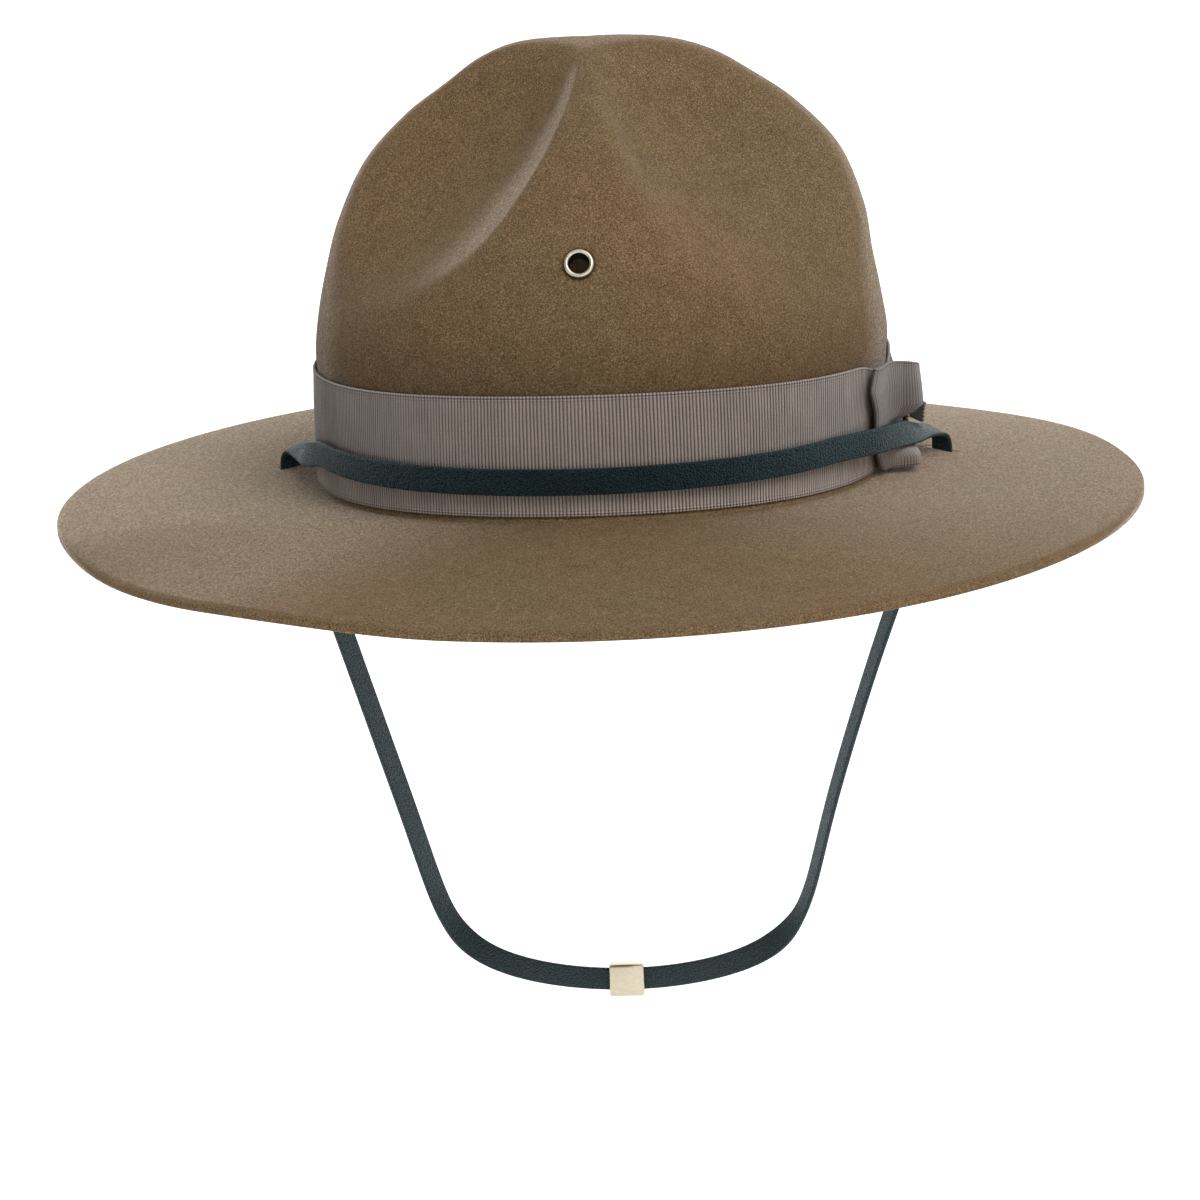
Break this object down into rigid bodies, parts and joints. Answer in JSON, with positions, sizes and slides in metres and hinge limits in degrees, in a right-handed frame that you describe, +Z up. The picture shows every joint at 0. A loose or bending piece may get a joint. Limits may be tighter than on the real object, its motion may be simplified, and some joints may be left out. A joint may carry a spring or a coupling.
{
  "type": "campaign hat",
  "caption": "Stiff felt campaign hat with a pinched crown, flat wide brim, ribbon band with a bow, front eyelet and a leather chin strap through brim slots.",
  "frame": {"origin": "centre of the head opening, level with the lowest part of the crease between crown and brim", "axes": "+Z up through the crown, the front of the hat at -Y, the wearer's left at +X"},
  "size_m": [0.3334, 0.3658, 0.3297],
  "materials": {
    "felt": "matt brushed felt, warm brown",
    "ribbon": "ribbed grosgrain ribbon, taupe grey",
    "strap_leather": "pebbled leather, dark green-black with a soft sheen",
    "eyelet_metal": "polished, pale nickel-brass",
    "slide_metal": "plain polished"
  },
  "bodies": {
    "root": {"felt_body": "felt", "ribbon_band": "ribbon", "bow_front_loop": "ribbon", "bow_rear_loop": "ribbon", "bow_knot": "ribbon", "bow_tail": "ribbon", "front_eyelet": "eyelet_metal", "chin_strap": "strap_leather", "strap_slide": "slide_metal"}
  },
  "joints": []
}
